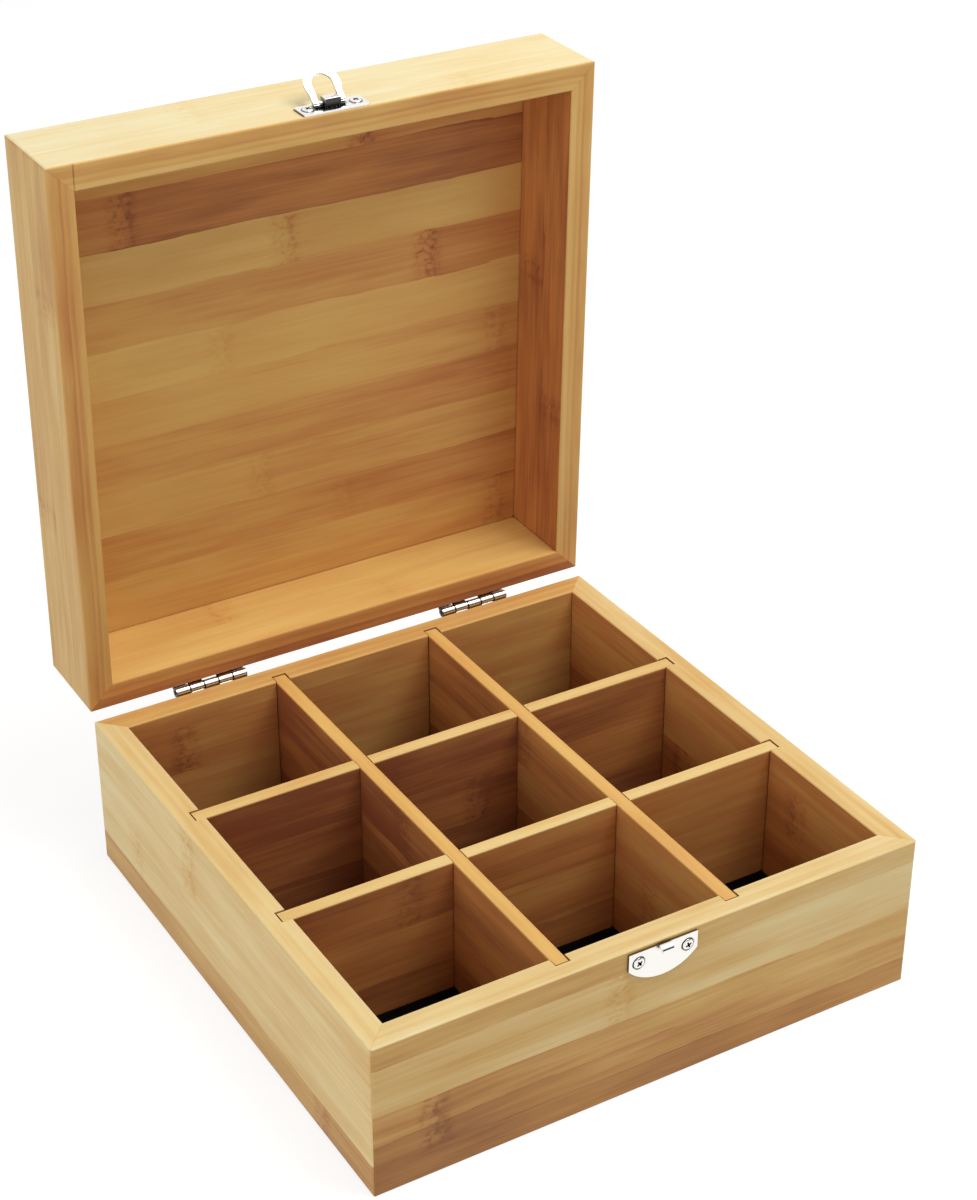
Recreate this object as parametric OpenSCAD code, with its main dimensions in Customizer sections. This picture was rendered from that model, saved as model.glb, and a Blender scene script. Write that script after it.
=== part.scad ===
// Tea bag organizer: a bamboo box with nine cells and a hinged lid, shown with the lid open.
// X runs to the right, the front faces -Y, +Z is up, and the origin is the middle of the underside.
// Everything on the lid is drawn closed and then swung open about the hinge axis.

/* [Box] */
// Outside width of the box
box_w = 240; // [190:1:320]
// Outside depth of the box
box_d = 240; // [190:1:320]
// Thickness of the side boards
wall_t = 11; // [9:0.5:14]
// Height of the base
base_h = 68; // [52:0.5:100]
// Height of the lid
lid_h = 41.4; // [34:0.1:60]
// Slit between the closed lid and the base
parting_gap = 0.3; // [0.2:0.05:0.6]
// Rounding of the rims and lower edges
edge_r = 0.8; // [0.4:0.1:1.5]
// Rounding of the lid's upper outer edges
lid_edge_r = 2; // [0.8:0.1:3]
// Rounding of the upright corners
corner_r = 1.5; // [0.5:0.1:3]
// Angle at which the open lid rests
open_angle = 88.5; // [80:0.5:95]

/* [Panels] */
// Thickness of the bottom panel
bottom_t = 6; // [4:0.5:8]
// Thickness of the lid panel
lid_panel_t = 4.2; // [3:0.1:6]
// Width of the rabbet that takes a panel
rabbet_w = 5.5; // [4:0.25:6.5]
// Play of a panel in its rabbet, each side
panel_play = 0.15; // [0.05:0.05:0.4]
// Thickness of the felt lining
felt_t = 1.2; // [0.8:0.1:2]
// Gap between the felt and the boards, each side
felt_play = 0.3; // [0.1:0.1:1]

/* [Dividers] */
// Thickness of the dividers
divider_t = 6; // [4:0.5:8]
// How far the dividers lie below the rim
divider_drop = 0.3; // [0.1:0.1:3]
// Rounding of the dividers' upper edges
divider_r = 0.6; // [0.3:0.1:1.2]
// Depth of the slots in the side boards
dado_depth = 4.6; // [3:0.2:6]
// Play of a divider in its slot, each side
dado_play = 0.3; // [0.1:0.05:0.5]
// Gap behind the end of a divider in its slot
dado_end_gap = 0.7; // [0.2:0.1:1.2]
// Play in the half-lap joints, each side
lap_play = 0.15; // [0.05:0.05:0.4]

/* [Hinges] */
// Distance of each hinge from the middle of the box
hinge_x = 65; // [40:1:75]
// Length of a hinge
hinge_len = 33; // [28:1:45]
// Height of a leaf's flat plate
leaf_h = 12; // [10:0.5:15]
// Sheet thickness of the leaves
leaf_t = 0.9; // [0.7:0.05:1.1]
// Radius of the hinge pin
hinge_pin_r = 1.05; // [0.9:0.05:1.3]
// Radial play of the pin in its knuckles
pin_play = 0.05; // [0.02:0.01:0.08]
// Clearance between a barrel and the boards
barrel_clear = 0.7; // [0.6:0.1:1.2]
// Gap between two knuckles
knuckle_gap = 0.2; // [0.1:0.05:0.4]
// How far the stop tongues reach past the pin
stop_reach = 5; // [4:0.25:7]
// Slit between a stop tongue and the open leaf
stop_gap = 0.3; // [0.2:0.05:0.5]
// Distance between the two screws of a leaf
leaf_screw_span = 21; // [16:0.5:23]

/* [Latch] */
// Place of the latch and the catch along the front
latch_x = 1.5; // [-20:0.5:20]
// Sheet thickness of the latch plate and the catch
fitting_t = 0.9; // [0.7:0.05:1.1]
// Width of the latch plate
latch_plate_w = 29; // [27:0.5:34]
// Height of the latch plate
latch_plate_h = 9.6; // [8.5:0.1:12]
// Height of the latch plate above the lid's rim
latch_plate_rise = 0.5; // [0.3:0.1:2]
// Rounding of the latch plate's corners
latch_plate_r = 0.8; // [0.4:0.1:2]
// Distance between the latch plate's screws
latch_screw_span = 21; // [20:0.5:22]
// Width of the eye that holds the ring
eye_w = 6.8; // [5:0.2:8]
// Thickness of metal around the eye's bore
eye_wall = 1.15; // [0.8:0.05:1.3]
// Rounding of the eye's outer edges
eye_corner_r = 0.6; // [0.3:0.1:1.5]
// Height of the ring's pivot above the lid's rim
pivot_rise = 6.2; // [5.2:0.1:6.8]

/* [Ring] */
// Sheet thickness of the ring
ring_t = 1.2; // [0.9:0.05:1.3]
// Outer radius of the ring
ring_r = 7.8; // [7.3:0.1:8.4]
// Radius of the ring's hole
ring_hole_r = 4.6; // [4.5:0.1:5]
// Distance from the pivot to the far edge of the ring
ring_reach = 15.4; // [15:0.1:16.4]
// Width across the ring's feet
ring_foot_w = 14; // [12.8:0.2:14.6]
// How far the feet reach behind the pivot
ring_tail = 1; // [0.9:0.05:1.05]
// Radius of the ring's bar
bar_r = 0.95; // [0.8:0.05:1.1]
// Radial play of the bar in the eye
bar_play = 0.08; // [0.03:0.01:0.1]
// Clearance between the bar and the latch plate
bar_clear = 0.35; // [0.3:0.05:0.6]
// How far the ring sits to the side in its eye
ring_shift = -0.8; // [-1.2:0.1:1.2]
// Swing of the ring from hanging down to leaning back
ring_open = 136.5; // [100:0.5:150]

/* [Catch] */
// Width of the catch plate
catch_w = 30.3; // [28:0.1:34]
// Height of the catch plate
catch_h = 14.1; // [12:0.1:16]
// Height of the catch plate's straight sides
catch_side_h = 7.4; // [6:0.1:9]
// How far the catch plate lies below the base's rim
catch_drop = 1.6; // [0.8:0.1:3]
// Distance between the catch plate's screws
catch_screw_span = 21.6; // [20:0.2:23]
// Depth of the catch screws below the plate's top edge
catch_screw_drop = 4.7; // [4:0.1:6]
// Width of the hook
hook_w = 5; // [4.4:0.1:5.4]
// Space between the catch plate and the hook
hook_gap = 2.4; // [2.2:0.1:3]
// How far the hook's bend stands above the catch plate
hook_rise = 0.6; // [0.2:0.1:1.2]
// Clearance with which the ring passes the hook's tip
hook_pass = 0.65; // [0.6:0.05:1.2]

/* [Screws] */
// Shank radius of all screws
shank_r = 1; // [0.8:0.05:1.2]
// Length of the screws
screw_len = 8; // [6:0.5:8.5]
// Radial clearance around the screws
screw_play = 0.1; // [0.05:0.05:0.2]
// Height of the countersunk cone
cone_h = 1.4; // [1.2:0.1:1.8]
// Head radius of the hinge screws
hinge_head_r = 2.2; // [1.8:0.1:2.6]
// Dome height of the hinge screws
hinge_dome_h = 0.25; // [0.15:0.05:0.4]
// Head radius of the latch and catch screws
latch_head_r = 2.8; // [2.4:0.1:3.2]
// Dome height of the latch and catch screws
latch_dome_h = 0.45; // [0.3:0.05:0.5]
// Width of the cross recess
recess_w = 0.7; // [0.5:0.05:0.9]
// Depth of the cross recess below the top of the dome
recess_depth = 0.8; // [0.5:0.05:1]

/* [Hidden] */
$fn = 48;

// Extra length of every cutting shape
over = 1;
bamboo = "#d2a35c";
bamboo_light = "#e0ba76";
felt_black = "#17130f";
nickel = "#cfd1d2";

// Inside of the box and its floor
inner_w = box_w - 2 * wall_t;
inner_d = box_d - 2 * wall_t;
floor_z = bottom_t + felt_t;
lid_z = base_h + parting_gap;
lid_top_z = lid_z + lid_h;

// Two dividers each way make three equal cells
divider_x = ((inner_w - 2 * divider_t) / 3 + divider_t) / 2;
divider_y = ((inner_d - 2 * divider_t) / 3 + divider_t) / 2;
divider_h = base_h - divider_drop - floor_z;
divider_end = dado_depth - dado_end_gap;

// Hinge barrel: its axis lies behind the back faces, at the height of the parting slit
bore_r = hinge_pin_r + pin_play;
knuckle_r = bore_r + leaf_t;
set_off = knuckle_r + barrel_clear;
hinge_y = box_d / 2 + set_off;
hinge_z = base_h + parting_gap / 2;
knuckles = 5;
knuckle_len = (hinge_len - (knuckles - 1) * knuckle_gap) / knuckles;
strip_len = 0.6 * knuckle_r;
leaf_top = knuckle_r + barrel_clear;
leaf_corner_r = 1.5;
seam_w = 0.25;
seam_angle = 30;
pin_stub = 0.4;
pin_tip_r = 0.7 * hinge_pin_r;

// Ring pivot with the lid closed
pivot_out = fitting_t + bar_clear + bar_r;
pivot_y = -box_d / 2 - pivot_out;
pivot_z = lid_z + pivot_rise;
eye_r = bar_r + bar_play + eye_wall;
ring_mid = ring_reach - ring_r;
ring_hole_far = ring_mid + ring_hole_r;

// Catch: the hook is a strip bent over, open below, that the ring drops behind
catch_top_z = base_h - catch_drop;
catch_arc_r = (pow(catch_w / 2, 2) + pow(catch_h - catch_side_h, 2)) / (2 * (catch_h - catch_side_h));
hook_r = hook_gap / 2 + fitting_t;
hook_mid_z = catch_top_z + hook_rise - hook_r;
hook_tip_z = pivot_z - ring_hole_far + hook_pass;

// ---------------------------------------------------------------- outlines

// Rectangle from the origin with its own radius at each corner:
// r = [lower left, lower right, upper right, upper left]
module soft_rect(w, h, r) {
    corners = [[0, 0], [w, 0], [w, h], [0, h]];
    inward = [[1, 1], [-1, 1], [-1, -1], [1, -1]];
    points = [
        for (i = [0:3])
        for (side = [0:1])
        if (r[i] > 0 || side == 0)
        corners[i] + ((i + side) % 2 == 1 ? [inward[i][0] * r[i], 0] : [0, inward[i][1] * r[i]])
    ];
    polygon(points);
    for (i = [0:3])
        if (r[i] > 0)
            translate(corners[i] + inward[i] * r[i])
                circle(r[i]);
}

// Plan of the box with its rounded upright corners
module plan() {
    translate([-box_w / 2, -box_d / 2])
        soft_rect(box_w, box_d, [corner_r, corner_r, corner_r, corner_r]);
}

// Runs a profile drawn in (Y, Z) along X, centred
module along_x(len) {
    rotate([90, 0, 90])
        translate([0, 0, -len / 2])
            linear_extrude(len)
                children();
}

// ---------------------------------------------------------------- boards

// Board along X whose outer face lies at y = -reach, cut to 45 degree mitres at both ends
module mitred_board(span, reach, z, h) {
    intersection() {
        translate([0, -reach, z])
            along_x(span)
                children();
        translate([0, 0, z - over])
            linear_extrude(h + 2 * over)
                polygon([
                    [-span / 2, -reach], [span / 2, -reach],
                    [span / 2 - wall_t, wall_t - reach], [wall_t - span / 2, wall_t - reach]
                ]);
    }
}

// Rabbet along the inner edge of a board
module rabbet(span, reach, z, h) {
    translate([-span / 2, wall_t - rabbet_w - reach, z])
        cube([span, rabbet_w + over, h]);
}

// The two slots for the dividers' ends
module dados(reach, places) {
    for (x = [-places, places])
        translate([x - divider_t / 2 - dado_play, wall_t - dado_depth - reach, bottom_t])
            cube([divider_t + 2 * dado_play, dado_depth + over, base_h]);
}

module base_board(span, reach, places) {
    difference() {
        mitred_board(span, reach, 0, base_h)
            soft_rect(wall_t, base_h, [edge_r, 0, edge_r, edge_r]);
        rabbet(span, reach, -over, bottom_t + over);
        dados(reach, places);
    }
}

module lid_board(span, reach) {
    difference() {
        mitred_board(span, reach, lid_z, lid_h)
            soft_rect(wall_t, lid_h, [edge_r, edge_r, 0, lid_edge_r]);
        rabbet(span, reach, lid_top_z - lid_panel_t, lid_panel_t + over);
    }
}

// Rounds the upright corners of what it holds
module rounded_corners() {
    intersection() {
        children();
        translate([0, 0, -over])
            linear_extrude(lid_top_z + 2 * over)
                plan();
    }
}

// Panel that fills the rabbets
module panel(z, t) {
    grow = 2 * (rabbet_w - panel_play);
    translate([-(inner_w + grow) / 2, -(inner_d + grow) / 2, z])
        cube([inner_w + grow, inner_d + grow, t]);
}

// Swings what is on the lid from closed to open
module on_lid() {
    translate([0, hinge_y, hinge_z])
        rotate([-open_angle, 0, 0])
            translate([0, -hinge_y, -hinge_z])
                children();
}

// ---------------------------------------------------------------- screws

// Screw along Z with the rim of its head at z = 0, driven downwards
module screw(head_r, dome_h) {
    dome_r = (head_r * head_r + dome_h * dome_h) / (2 * dome_h);
    tip_h = 1.8 * shank_r;
    difference() {
        union() {
            translate([0, 0, tip_h - screw_len])
                cylinder(r = shank_r, h = screw_len - tip_h);
            translate([0, 0, -screw_len])
                cylinder(r1 = 0.15 * shank_r, r2 = shank_r, h = tip_h);
            translate([0, 0, -cone_h])
                cylinder(r1 = shank_r, r2 = head_r, h = cone_h);
            intersection() {
                translate([0, 0, dome_h - dome_r])
                    sphere(dome_r);
                cylinder(r = head_r + over, h = dome_h + over);
            }
        }
        for (turn = [0, 90])
            rotate([0, 0, turn])
                translate([-0.55 * head_r, -recess_w / 2, dome_h - recess_depth])
                    cube([1.1 * head_r, recess_w, recess_depth + over]);
    }
}

// Room for one screw, through the sheet and into the board
module screw_hole(head_r) {
    translate([0, 0, -screw_len - screw_play])
        cylinder(r = shank_r + screw_play, h = screw_len);
    translate([0, 0, -cone_h])
        cylinder(r1 = shank_r + screw_play, r2 = head_r + screw_play, h = cone_h);
    cylinder(r = head_r + screw_play, h = over);
}

// Places of a pair of screws that enter a front face
module front_pair(x, z, span, proud) {
    for (side = [-1, 1])
        translate([x + side * span / 2, -box_d / 2 - proud, z])
            rotate([90, 0, 0])
                children();
}

module catch_pair() {
    front_pair(latch_x, catch_top_z - catch_screw_drop, catch_screw_span, fitting_t)
        children();
}

module latch_pair() {
    front_pair(latch_x, lid_z + latch_plate_rise + latch_plate_h / 2, latch_screw_span, fitting_t)
        children();
}

// Places of a leaf's two screws, for the hinge at x; way is -1 on the base and 1 on the lid
module leaf_pair(x, way) {
    for (side = [-1, 1])
        translate([x + side * leaf_screw_span / 2, hinge_y - set_off + leaf_t,
                   hinge_z + way * (leaf_top + leaf_h / 2)])
            rotate([-90, 0, 0])
                children();
}

// ---------------------------------------------------------------- hinges

// Shapes below are drawn around the hinge axis, with the closed leaves on the -Y side

// Strip that joins a knuckle to its leaf, bent back to lie on the board
module strip_profile() {
    polygon([
        [-knuckle_r, 0], [-knuckle_r, -strip_len], [-set_off, -leaf_top],
        [-set_off, -leaf_top - over], [leaf_t - set_off, -leaf_top - over],
        [leaf_t - set_off, -leaf_top], [-bore_r, -strip_len], [-bore_r, 0]
    ]);
}

// Tongue that runs on from an outer knuckle and lies under the open lid's leaf
module stop_profile() {
    rotate(-open_angle)
        translate([leaf_t + stop_gap - set_off, 0])
            square([leaf_t, stop_reach]);
}

// Rolled knuckle with its bore, and the seam where the roll of sheet ends
module knuckle(index, stop = false) {
    start = -hinge_len / 2 + index * (knuckle_len + knuckle_gap);
    translate([start + knuckle_len / 2, 0, 0])
        along_x(knuckle_len)
            difference() {
                union() {
                    circle(knuckle_r);
                    strip_profile();
                    if (stop) stop_profile();
                }
                circle(bore_r);
                rotate(seam_angle)
                    translate([-seam_w / 2, -knuckle_r - over])
                        square([seam_w, knuckle_r + over]);
            }
}

module leaf_plate() {
    translate([-hinge_len / 2, leaf_t - set_off, -leaf_top - leaf_h])
        rotate([90, 0, 0])
            linear_extrude(leaf_t)
                soft_rect(hinge_len, leaf_h, [leaf_corner_r, leaf_corner_r, 0, 0]);
}

module base_leaf(x) {
    color(nickel)
        difference() {
            translate([x, hinge_y, hinge_z]) {
                leaf_plate();
                for (index = [0:2:knuckles - 1])
                    knuckle(index, stop = index == 0 || index == knuckles - 1);
            }
            leaf_pair(x, -1)
                screw_hole(hinge_head_r);
        }
}

module lid_leaf(x) {
    color(nickel)
        on_lid()
            difference() {
                translate([x, hinge_y, hinge_z])
                    mirror([0, 0, 1]) {
                        leaf_plate();
                        for (index = [1:2:knuckles - 2])
                            knuckle(index);
                    }
                leaf_pair(x, 1)
                    screw_hole(hinge_head_r);
            }
}

module hinge_pin(x) {
    color(nickel)
        translate([x, hinge_y, hinge_z])
            rotate([0, 90, 0]) {
                cylinder(r = hinge_pin_r, h = hinge_len, center = true);
                for (end = [0, 180])
                    rotate([end, 0, 0])
                        translate([0, 0, hinge_len / 2])
                            cylinder(r1 = hinge_pin_r, r2 = pin_tip_r, h = pin_stub);
            }
}

module base_leaf_screws(x) {
    color(nickel)
        leaf_pair(x, -1)
            screw(hinge_head_r, hinge_dome_h);
}

module lid_leaf_screws(x) {
    color(nickel)
        on_lid()
            leaf_pair(x, 1)
                screw(hinge_head_r, hinge_dome_h);
}

module left_hinge_base_leaf() { base_leaf(-hinge_x); }
module right_hinge_base_leaf() { base_leaf(hinge_x); }
module left_hinge_lid_leaf() { lid_leaf(-hinge_x); }
module right_hinge_lid_leaf() { lid_leaf(hinge_x); }
module left_hinge_pin() { hinge_pin(-hinge_x); }
module right_hinge_pin() { hinge_pin(hinge_x); }
module left_hinge_base_screws() { base_leaf_screws(-hinge_x); }
module right_hinge_base_screws() { base_leaf_screws(hinge_x); }
module left_hinge_lid_screws() { lid_leaf_screws(-hinge_x); }
module right_hinge_lid_screws() { lid_leaf_screws(hinge_x); }

// ---------------------------------------------------------------- base

module base_front_wall() {
    color(bamboo)
        difference() {
            rounded_corners()
                base_board(box_w, box_d / 2, divider_x);
            catch_pair()
                screw_hole(latch_head_r);
        }
}

module base_back_wall() {
    color(bamboo)
        difference() {
            rounded_corners()
                rotate([0, 0, 180])
                    base_board(box_w, box_d / 2, divider_x);
            for (x = [-hinge_x, hinge_x])
                leaf_pair(x, -1)
                    screw_hole(hinge_head_r);
        }
}

module base_side_wall(turn) {
    color(bamboo)
        rounded_corners()
            rotate([0, 0, turn])
                base_board(box_d, box_w / 2, divider_y);
}

module base_left_wall() { base_side_wall(-90); }
module base_right_wall() { base_side_wall(90); }

module base_bottom_panel() {
    color(bamboo_light)
        panel(0, bottom_t);
}

module felt_liner() {
    color(felt_black)
        translate([felt_play - inner_w / 2, felt_play - inner_d / 2, bottom_t])
            cube([inner_w - 2 * felt_play, inner_d - 2 * felt_play, felt_t]);
}

// Divider along X; both kinds stand on the felt and meet in half-lap joints
module divider_blank(inner) {
    translate([0, -divider_t / 2, floor_z])
        along_x(inner + 2 * divider_end)
            soft_rect(divider_t, divider_h, [0, 0, divider_r, divider_r]);
}

// Notches at the two crossings, over half the height from z
module lap_notches(places, z) {
    for (x = [-places, places])
        translate([x - divider_t / 2 - lap_play, -divider_t, z])
            cube([divider_t + 2 * lap_play, 2 * divider_t, divider_h / 2 + lap_play + over]);
}

// Long dividers run from front to back and are notched from below
module long_divider(x) {
    color(bamboo_light)
        translate([x, 0, 0])
            rotate([0, 0, 90])
                difference() {
                    divider_blank(inner_d);
                    lap_notches(divider_y, floor_z - over);
                }
}

// Cross dividers run from left to right and are notched from above
module cross_divider(y) {
    color(bamboo_light)
        translate([0, y, 0])
            difference() {
                divider_blank(inner_w);
                lap_notches(divider_x, floor_z + divider_h / 2 - lap_play);
            }
}

module long_divider_left() { long_divider(-divider_x); }
module long_divider_right() { long_divider(divider_x); }
module cross_divider_front() { cross_divider(-divider_y); }
module cross_divider_rear() { cross_divider(divider_y); }

// Half-moon plate of the catch, drawn from its top edge down
module catch_outline() {
    intersection() {
        translate([-catch_w / 2, -catch_h])
            square([catch_w, catch_h]);
        translate([0, catch_arc_r - catch_h])
            circle(catch_arc_r, $fn = 96);
    }
}

// Hook seen from the side: y is the distance from the board, z the height
module hook_profile() {
    intersection() {
        difference() {
            translate([hook_r, hook_mid_z])
                circle(hook_r);
            translate([hook_r, hook_mid_z])
                circle(hook_r - fitting_t);
        }
        translate([-over, hook_mid_z])
            square([2 * hook_r + 2 * over, hook_r + over]);
    }
    translate([2 * hook_r - fitting_t, hook_tip_z])
        square([fitting_t, hook_mid_z - hook_tip_z]);
    translate([0, hook_mid_z - over])
        square([fitting_t, over]);
}

// Hook seen from the front: a tongue with a round end
module hook_outline() {
    translate([0, hook_tip_z + hook_w / 2])
        circle(hook_w / 2);
    translate([-hook_w / 2, hook_tip_z + hook_w / 2])
        square([hook_w, catch_top_z + hook_rise + over - hook_tip_z]);
}

module hook() {
    intersection() {
        mirror([0, 1, 0])
            along_x(hook_w)
                hook_profile();
        rotate([90, 0, 0])
            translate([0, 0, -over])
                linear_extrude(2 * hook_r + 2 * over)
                    hook_outline();
    }
}

module catch_plate() {
    color(nickel)
        difference() {
            translate([latch_x, -box_d / 2, 0]) {
                translate([0, 0, catch_top_z])
                    rotate([90, 0, 0])
                        linear_extrude(fitting_t)
                            catch_outline();
                hook();
            }
            catch_pair()
                screw_hole(latch_head_r);
        }
}

module catch_screws() {
    color(nickel)
        catch_pair()
            screw(latch_head_r, latch_dome_h);
}

// ---------------------------------------------------------------- lid

module lid_front_wall() {
    color(bamboo)
        on_lid()
            difference() {
                rounded_corners()
                    lid_board(box_w, box_d / 2);
                latch_pair()
                    screw_hole(latch_head_r);
            }
}

module lid_back_wall() {
    color(bamboo)
        on_lid()
            difference() {
                rounded_corners()
                    rotate([0, 0, 180])
                        lid_board(box_w, box_d / 2);
                for (x = [-hinge_x, hinge_x])
                    leaf_pair(x, 1)
                        screw_hole(hinge_head_r);
            }
}

module lid_side_wall(turn) {
    color(bamboo)
        on_lid()
            rounded_corners()
                rotate([0, 0, turn])
                    lid_board(box_d, box_w / 2);
}

module lid_left_wall() { lid_side_wall(-90); }
module lid_right_wall() { lid_side_wall(90); }

module lid_panel() {
    color(bamboo_light)
        on_lid()
            panel(lid_top_z - lid_panel_t, lid_panel_t);
}

// Arched strap over the ring's bar, seen from the side
module eye_profile() {
    translate([-pivot_out, -eye_r])
        soft_rect(pivot_out + eye_r, 2 * eye_r, [0, eye_corner_r, eye_corner_r, 0]);
}

module latch_plate() {
    color(nickel)
        on_lid()
            difference() {
                union() {
                    translate([latch_x - latch_plate_w / 2, -box_d / 2, lid_z + latch_plate_rise])
                        rotate([90, 0, 0])
                            linear_extrude(fitting_t)
                                soft_rect(latch_plate_w, latch_plate_h, [for (i = [0:3]) latch_plate_r]);
                    translate([latch_x, pivot_y, pivot_z])
                        mirror([0, 1, 0])
                            along_x(eye_w)
                                eye_profile();
                }
                translate([latch_x, pivot_y, pivot_z])
                    along_x(eye_w + 2 * over)
                        circle(bar_r + bar_play);
                latch_pair()
                    screw_hole(latch_head_r);
            }
}

module latch_screws() {
    color(nickel)
        on_lid()
            latch_pair()
                screw(latch_head_r, latch_dome_h);
}

// Stamped ring, drawn with its bar on the X axis and the rest towards -Y
module ring_outline() {
    difference() {
        union() {
            translate([0, -ring_mid])
                circle(ring_r);
            translate([-ring_foot_w / 2, -ring_mid])
                square([ring_foot_w, ring_mid + ring_tail]);
        }
        translate([0, -ring_mid])
            circle(ring_hole_r);
        translate([-ring_hole_r, -ring_mid])
            square([2 * ring_hole_r, ring_mid + ring_tail + over]);
    }
}

module latch_ring() {
    color(nickel)
        on_lid()
            translate([latch_x + ring_shift, pivot_y, pivot_z])
                rotate([-ring_open, 0, 0]) {
                    rotate([90, 0, 0])
                        linear_extrude(ring_t, center = true)
                            ring_outline();
                    along_x(ring_foot_w)
                        circle(bar_r);
                }
}

base_front_wall();
base_back_wall();
base_left_wall();
base_right_wall();
base_bottom_panel();
felt_liner();
long_divider_left();
long_divider_right();
cross_divider_front();
cross_divider_rear();
left_hinge_base_leaf();
right_hinge_base_leaf();
left_hinge_pin();
right_hinge_pin();
left_hinge_base_screws();
right_hinge_base_screws();
catch_plate();
catch_screws();
lid_front_wall();
lid_back_wall();
lid_left_wall();
lid_right_wall();
lid_panel();
left_hinge_lid_leaf();
right_hinge_lid_leaf();
left_hinge_lid_screws();
right_hinge_lid_screws();
latch_plate();
latch_screws();
latch_ring();
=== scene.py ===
"""Looks of a tea bag organizer: a bamboo box with nine cells, stop hinges and a ring latch.

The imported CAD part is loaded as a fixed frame. The boards are dressed where they stand, the metal
fittings are copied, rounded and polished, and the screws are made by Geometry Nodes. Sizes are in
millimetres, and become metres where a mesh or a place is made.
"""

import logging
from dataclasses import dataclass, field
from enum import Enum
from math import cos, pi, radians, sin, sqrt
from typing import Any, Iterable

import bmesh
import bpy
from mathutils import Euler, Matrix, Vector


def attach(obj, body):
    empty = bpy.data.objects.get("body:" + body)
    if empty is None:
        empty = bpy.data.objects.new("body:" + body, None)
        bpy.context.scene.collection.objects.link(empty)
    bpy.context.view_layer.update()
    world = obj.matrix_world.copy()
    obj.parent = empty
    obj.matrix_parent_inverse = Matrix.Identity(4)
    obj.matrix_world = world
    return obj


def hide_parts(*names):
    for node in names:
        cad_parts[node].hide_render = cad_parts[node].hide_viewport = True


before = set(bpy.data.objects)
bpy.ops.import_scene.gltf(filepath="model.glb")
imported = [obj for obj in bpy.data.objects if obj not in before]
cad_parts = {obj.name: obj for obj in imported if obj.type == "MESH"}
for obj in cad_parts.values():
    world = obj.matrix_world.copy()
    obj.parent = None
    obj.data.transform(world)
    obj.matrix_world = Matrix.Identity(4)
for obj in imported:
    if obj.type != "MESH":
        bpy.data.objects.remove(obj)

log = logging.getLogger("tea_box")

Material = bpy.types.Material
Node = bpy.types.Node
Socket = bpy.types.NodeSocket
Tree = bpy.types.NodeTree
Place = tuple[float, float, float]
Colour = tuple[float, float, float, float]
Stops = list[tuple[float, Colour]]
Plies = tuple[tuple[float, float], ...]

MM = 0.001
BOX = 240.0
HALF = BOX / 2
WALL_T = 11.0
BASE_H = 68.0
LID_Z = 68.3
PANEL = 228.7
NO_MITRE = 2 * BOX
OPEN_ANGLE = 88.5
HINGE_AXIS = Vector((0.0, 122.7, 68.15))
HINGE_X = 65.0
OPENING = Matrix.Rotation(radians(-OPEN_ANGLE), 3, "X")
SHUTTING = Matrix.Rotation(radians(OPEN_ANGLE), 3, "X")
BLACK = (0.0, 0.0, 0.0, 1.0)
WHITE = (1.0, 1.0, 1.0, 1.0)


def linear(hex_colour: str) -> Colour:
    """Turns an sRGB colour into the linear values that the shader takes.

    Args:
        hex_colour: The colour as "#rrggbb".

    Returns:
        Linear red, green, blue and an alpha of 1.
    """
    parts = [int(hex_colour[i : i + 2], 16) / 255 for i in (1, 3, 5)]
    red, green, blue = (c / 12.92 if c <= 0.04045 else ((c + 0.055) / 1.055) ** 2.4 for c in parts)
    return (red, green, blue, 1.0)


def add(tree: Tree, kind: str, links: dict[Any, Any] | None = None, **settings: Any) -> Node:
    """Adds one node with its settings, links and values.

    Args:
        tree: The node tree that gets the node.
        kind: The node's type. A shader node goes by its short name, such as "Math".
        links: What goes into each input, by name or index: a socket, a node for its first output,
            or a plain value.
        **settings: Attributes of the node. "stops" and "interpolation" are those of a colour ramp.

    Returns:
        The new node.
    """
    node = tree.nodes.new(kind if "Node" in kind else f"ShaderNode{kind}")
    stops = settings.pop("stops", None)
    interpolation = settings.pop("interpolation", None)
    for name, value in settings.items():
        setattr(node, name, value)
    for key, source in (links or {}).items():
        if isinstance(source, Node):
            source = source.outputs[0]
        if isinstance(source, Socket):
            tree.links.new(source, node.inputs[key])
        else:
            node.inputs[key].default_value = source
    if interpolation:
        node.color_ramp.interpolation = interpolation
    if stops:
        elements = node.color_ramp.elements
        while len(elements) > 1:
            elements.remove(elements[-1])
        elements[0].position, elements[0].color = stops[0]
        for position, colour in stops[1:]:
            elements.new(position).color = colour
    return node


def new_material(name: str) -> tuple[Material, Tree]:
    """Makes an empty material.

    Args:
        name: The material's name.

    Returns:
        The material and its node tree.
    """
    material = bpy.data.materials.new(name)
    material.use_nodes = True
    material.node_tree.nodes.clear()
    return material, material.node_tree


def new_object(name: str, data: bpy.types.ID) -> bpy.types.Object:
    """Puts a mesh, lamp or camera into the scene.

    Args:
        name: The object's name.
        data: What it shows.

    Returns:
        The object.
    """
    placed = bpy.data.objects.new(name, data)
    bpy.context.scene.collection.objects.link(placed)
    return placed


# --- bamboo


@dataclass(frozen=True)
class Strip:
    """One glued strip of bamboo in a board, with the node ring of the cane that crosses it.

    Tone runs from 0, pale, to 1, dark. Knot is where along the board the node ring lies, and
    strength how dark it is.
    """

    width: float
    tone: float
    knot: float = 0.0
    strength: float = 0.0


class Turn(Enum):
    """How a board is turned, about X and then Z, to lie along X with its outer face towards -Y."""

    FRONT = (0.0, 0.0)
    BACK = (0.0, 180.0)
    LEFT = (0.0, 90.0)
    RIGHT = (0.0, -90.0)
    LEVEL = (-90.0, 0.0)


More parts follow.
